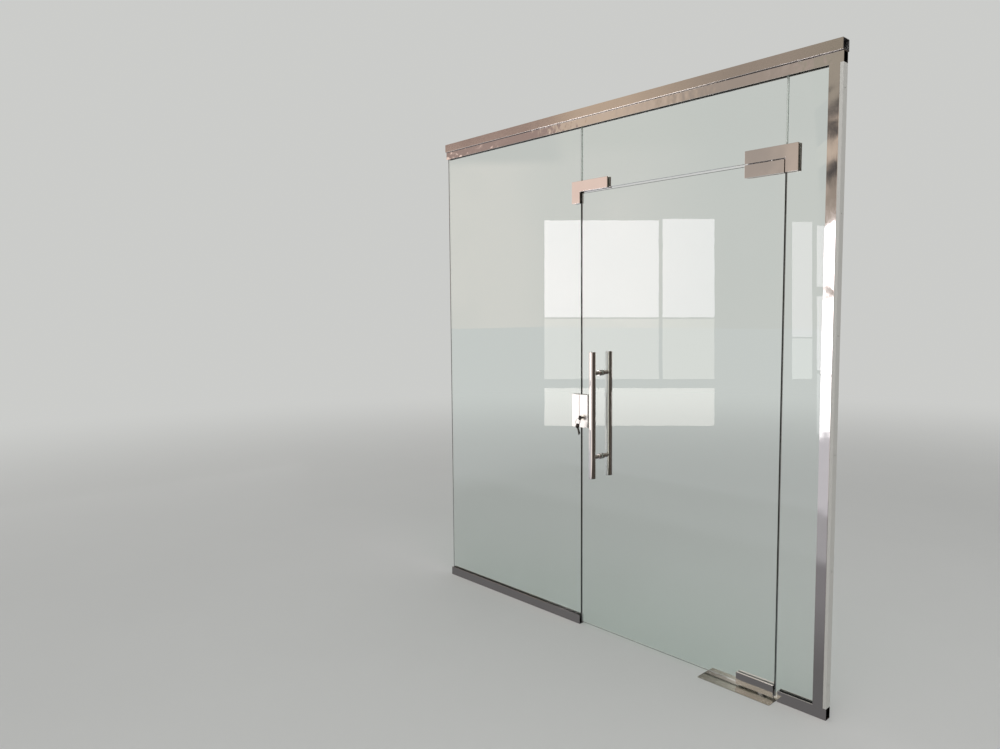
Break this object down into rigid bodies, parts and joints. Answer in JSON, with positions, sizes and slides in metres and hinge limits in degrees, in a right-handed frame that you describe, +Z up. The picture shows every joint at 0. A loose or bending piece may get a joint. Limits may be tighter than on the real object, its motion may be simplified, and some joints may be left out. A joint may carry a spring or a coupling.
{
  "type": "glass entrance door",
  "caption": "Frameless glass swing door on a floor spring between fixed glass sidelights and an overpanel, with patch fittings, a patch lock with keys and a long tubular pull.",
  "frame": {"origin": "where the wall face, the finished floor and the middle of the glass meet, at the right end", "axes": "+X along the screen to the wall, +Y away from the side the handle and keys are seen from, +Z up"},
  "size_m": [2.2395, 0.16, 2.5485],
  "materials": {
    "polished_stainless": "polished stainless sheet",
    "satin_stainless": "fine satin stainless sheet",
    "lock_face": "pale satin stainless",
    "hidden_steel": "plain steel",
    "plate_metal": "as cast clamp plates",
    "screw_steel": "turned steel",
    "casting": "grey cast body",
    "cylinder_metal": "nickel plated brass",
    "key_metal": "dull plated keys",
    "nylon": "white nylon",
    "fibre": "dark fibre gasket",
    "packing": "dark packing",
    "gasket": "black glazing rubber",
    "glass": "clear, faint green, polished edges"
  },
  "bodies": {
    "frame": {"header_beam": "hidden_steel", "header_cover_left": "satin_stainless", "header_cover_right": "satin_stainless", "header_channel": "polished_stainless", "header_screws": "screw_steel", "left_sill_channel": "polished_stainless", "right_sill_channel": "polished_stainless", "wall_channel": "polished_stainless", "wall_packing": "packing", "glazing_gaskets": "gasket", "setting_blocks": "packing", "left_sidelight": "glass", "right_sidelight": "glass", "overpanel": "glass", "pivot_patch_front_plate": "plate_metal", "pivot_patch_front_cover": "polished_stainless", "pivot_patch_back_plate": "plate_metal", "pivot_patch_back_cover": "polished_stainless", "top_pivot_pin": "screw_steel", "corner_patch_front_plate": "plate_metal", "corner_patch_front_cover": "polished_stainless", "corner_patch_back_plate": "plate_metal", "corner_patch_back_cover": "polished_stainless", "strike_front": "lock_face", "strike_back": "lock_face", "frame_patch_pads": "fibre", "frame_clamp_screws": "screw_steel", "cement_box": "hidden_steel", "closer_body": "casting", "cover_plate": "polished_stainless", "cover_plate_screws": "screw_steel"},
    "leaf": {"door_leaf": "glass", "top_patch_front_plate": "plate_metal", "top_patch_front_cover": "polished_stainless", "top_patch_back_plate": "plate_metal", "top_patch_back_cover": "polished_stainless", "top_pivot_bush": "nylon", "bottom_patch_front_plate": "plate_metal", "bottom_patch_front_cover": "polished_stainless", "bottom_patch_back_plate": "plate_metal", "bottom_patch_back_cover": "polished_stainless", "spindle_insert": "hidden_steel", "spindle": "screw_steel", "leaf_patch_pads": "fibre", "leaf_clamp_screws": "screw_steel", "lock_front": "lock_face", "lock_back": "lock_face", "cylinder_sleeve": "cylinder_metal", "handle_front_bar": "polished_stainless", "handle_back_bar": "polished_stainless", "handle_end_caps": "polished_stainless", "handle_posts": "polished_stainless", "handle_studs": "screw_steel", "handle_bushes": "nylon"},
    "bolt": {"bolt": "screw_steel"},
    "key": {"cylinder_plug": "cylinder_metal", "key": "key_metal", "key_ring": "key_metal", "spare_keys": "key_metal"}
  },
  "joints": [
    {"name": "leaf_swing", "type": "hinge", "parent": "frame", "child": "leaf", "pos_m": [-0.268, 0, 0], "axis": [0, 0, 1], "range_deg": [-90, 90], "stiffness_Nm_per_rad": 10},
    {"name": "key_turn", "type": "hinge", "parent": "leaf", "child": "key", "pos_m": [-1.206, 0, 1.041], "axis": [0, 1, 0], "range_deg": [0, 90]},
    {"name": "bolt_throw", "type": "slide", "parent": "leaf", "child": "bolt", "axis": [-1, 0, 0], "range_m": [0, 0.014]}
  ],
  "couplings": [
    {"joint": "bolt_throw", "follows": "key_turn", "m_per_rad": 0.008912}
  ]
}
